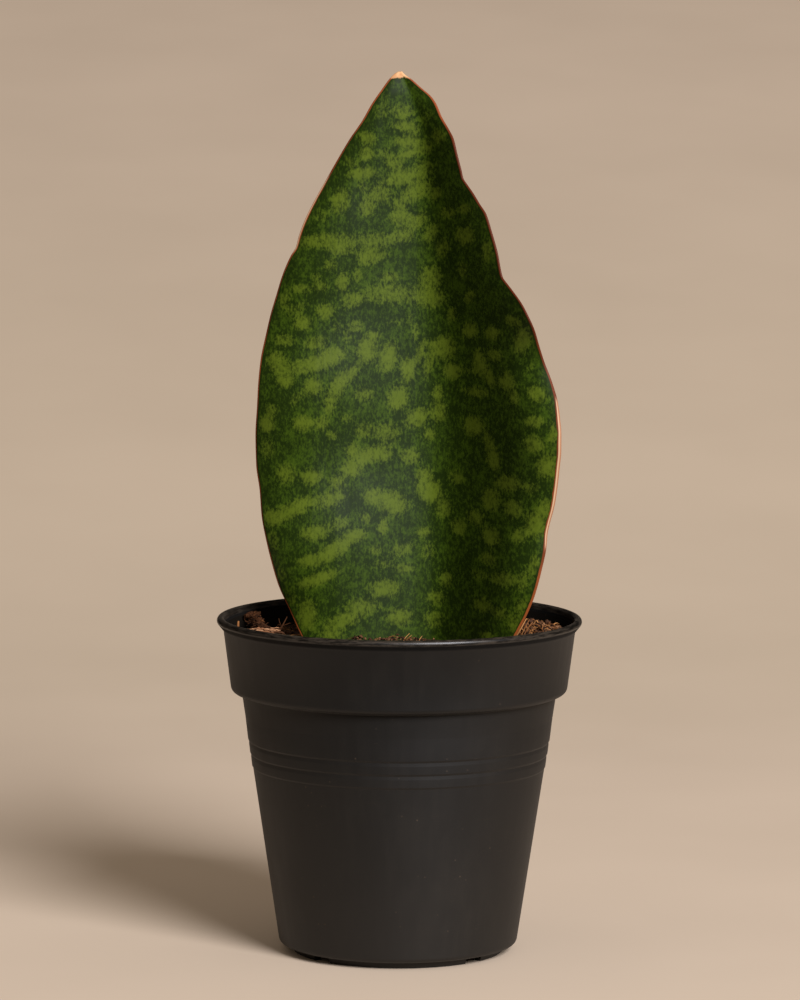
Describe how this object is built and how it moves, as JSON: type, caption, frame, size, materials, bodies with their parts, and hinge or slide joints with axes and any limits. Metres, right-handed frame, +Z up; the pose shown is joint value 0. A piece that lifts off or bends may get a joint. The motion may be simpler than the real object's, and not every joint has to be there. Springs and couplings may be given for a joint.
{
  "type": "potted snake plant",
  "caption": "Potted live plant: one broad channelled upright leaf with mottled faces, rooted in potting mix in a tapered nursery pot with a collar and rolled rim.",
  "frame": {"origin": "centre of the pot's foot ring, on the surface that the pot stands on", "axes": "+Z up along the pot's axis; the leaf's hollow face looks along -Y, and +X is to its right as seen from there"},
  "size_m": [0.15, 0.15, 0.3611],
  "materials": {
    "pot_plastic": "satin",
    "potting_mix": "matte",
    "rhizome_skin": "matte",
    "leaf_skin": "satin",
    "bark": "matte",
    "pale_wood": "matte"
  },
  "bodies": {
    "root": {"pot": "pot_plastic", "soil": "potting_mix", "rhizome": "rhizome_skin", "leaf": "leaf_skin", "bark_chip": "bark", "wood_splinter": "pale_wood"}
  },
  "joints": []
}
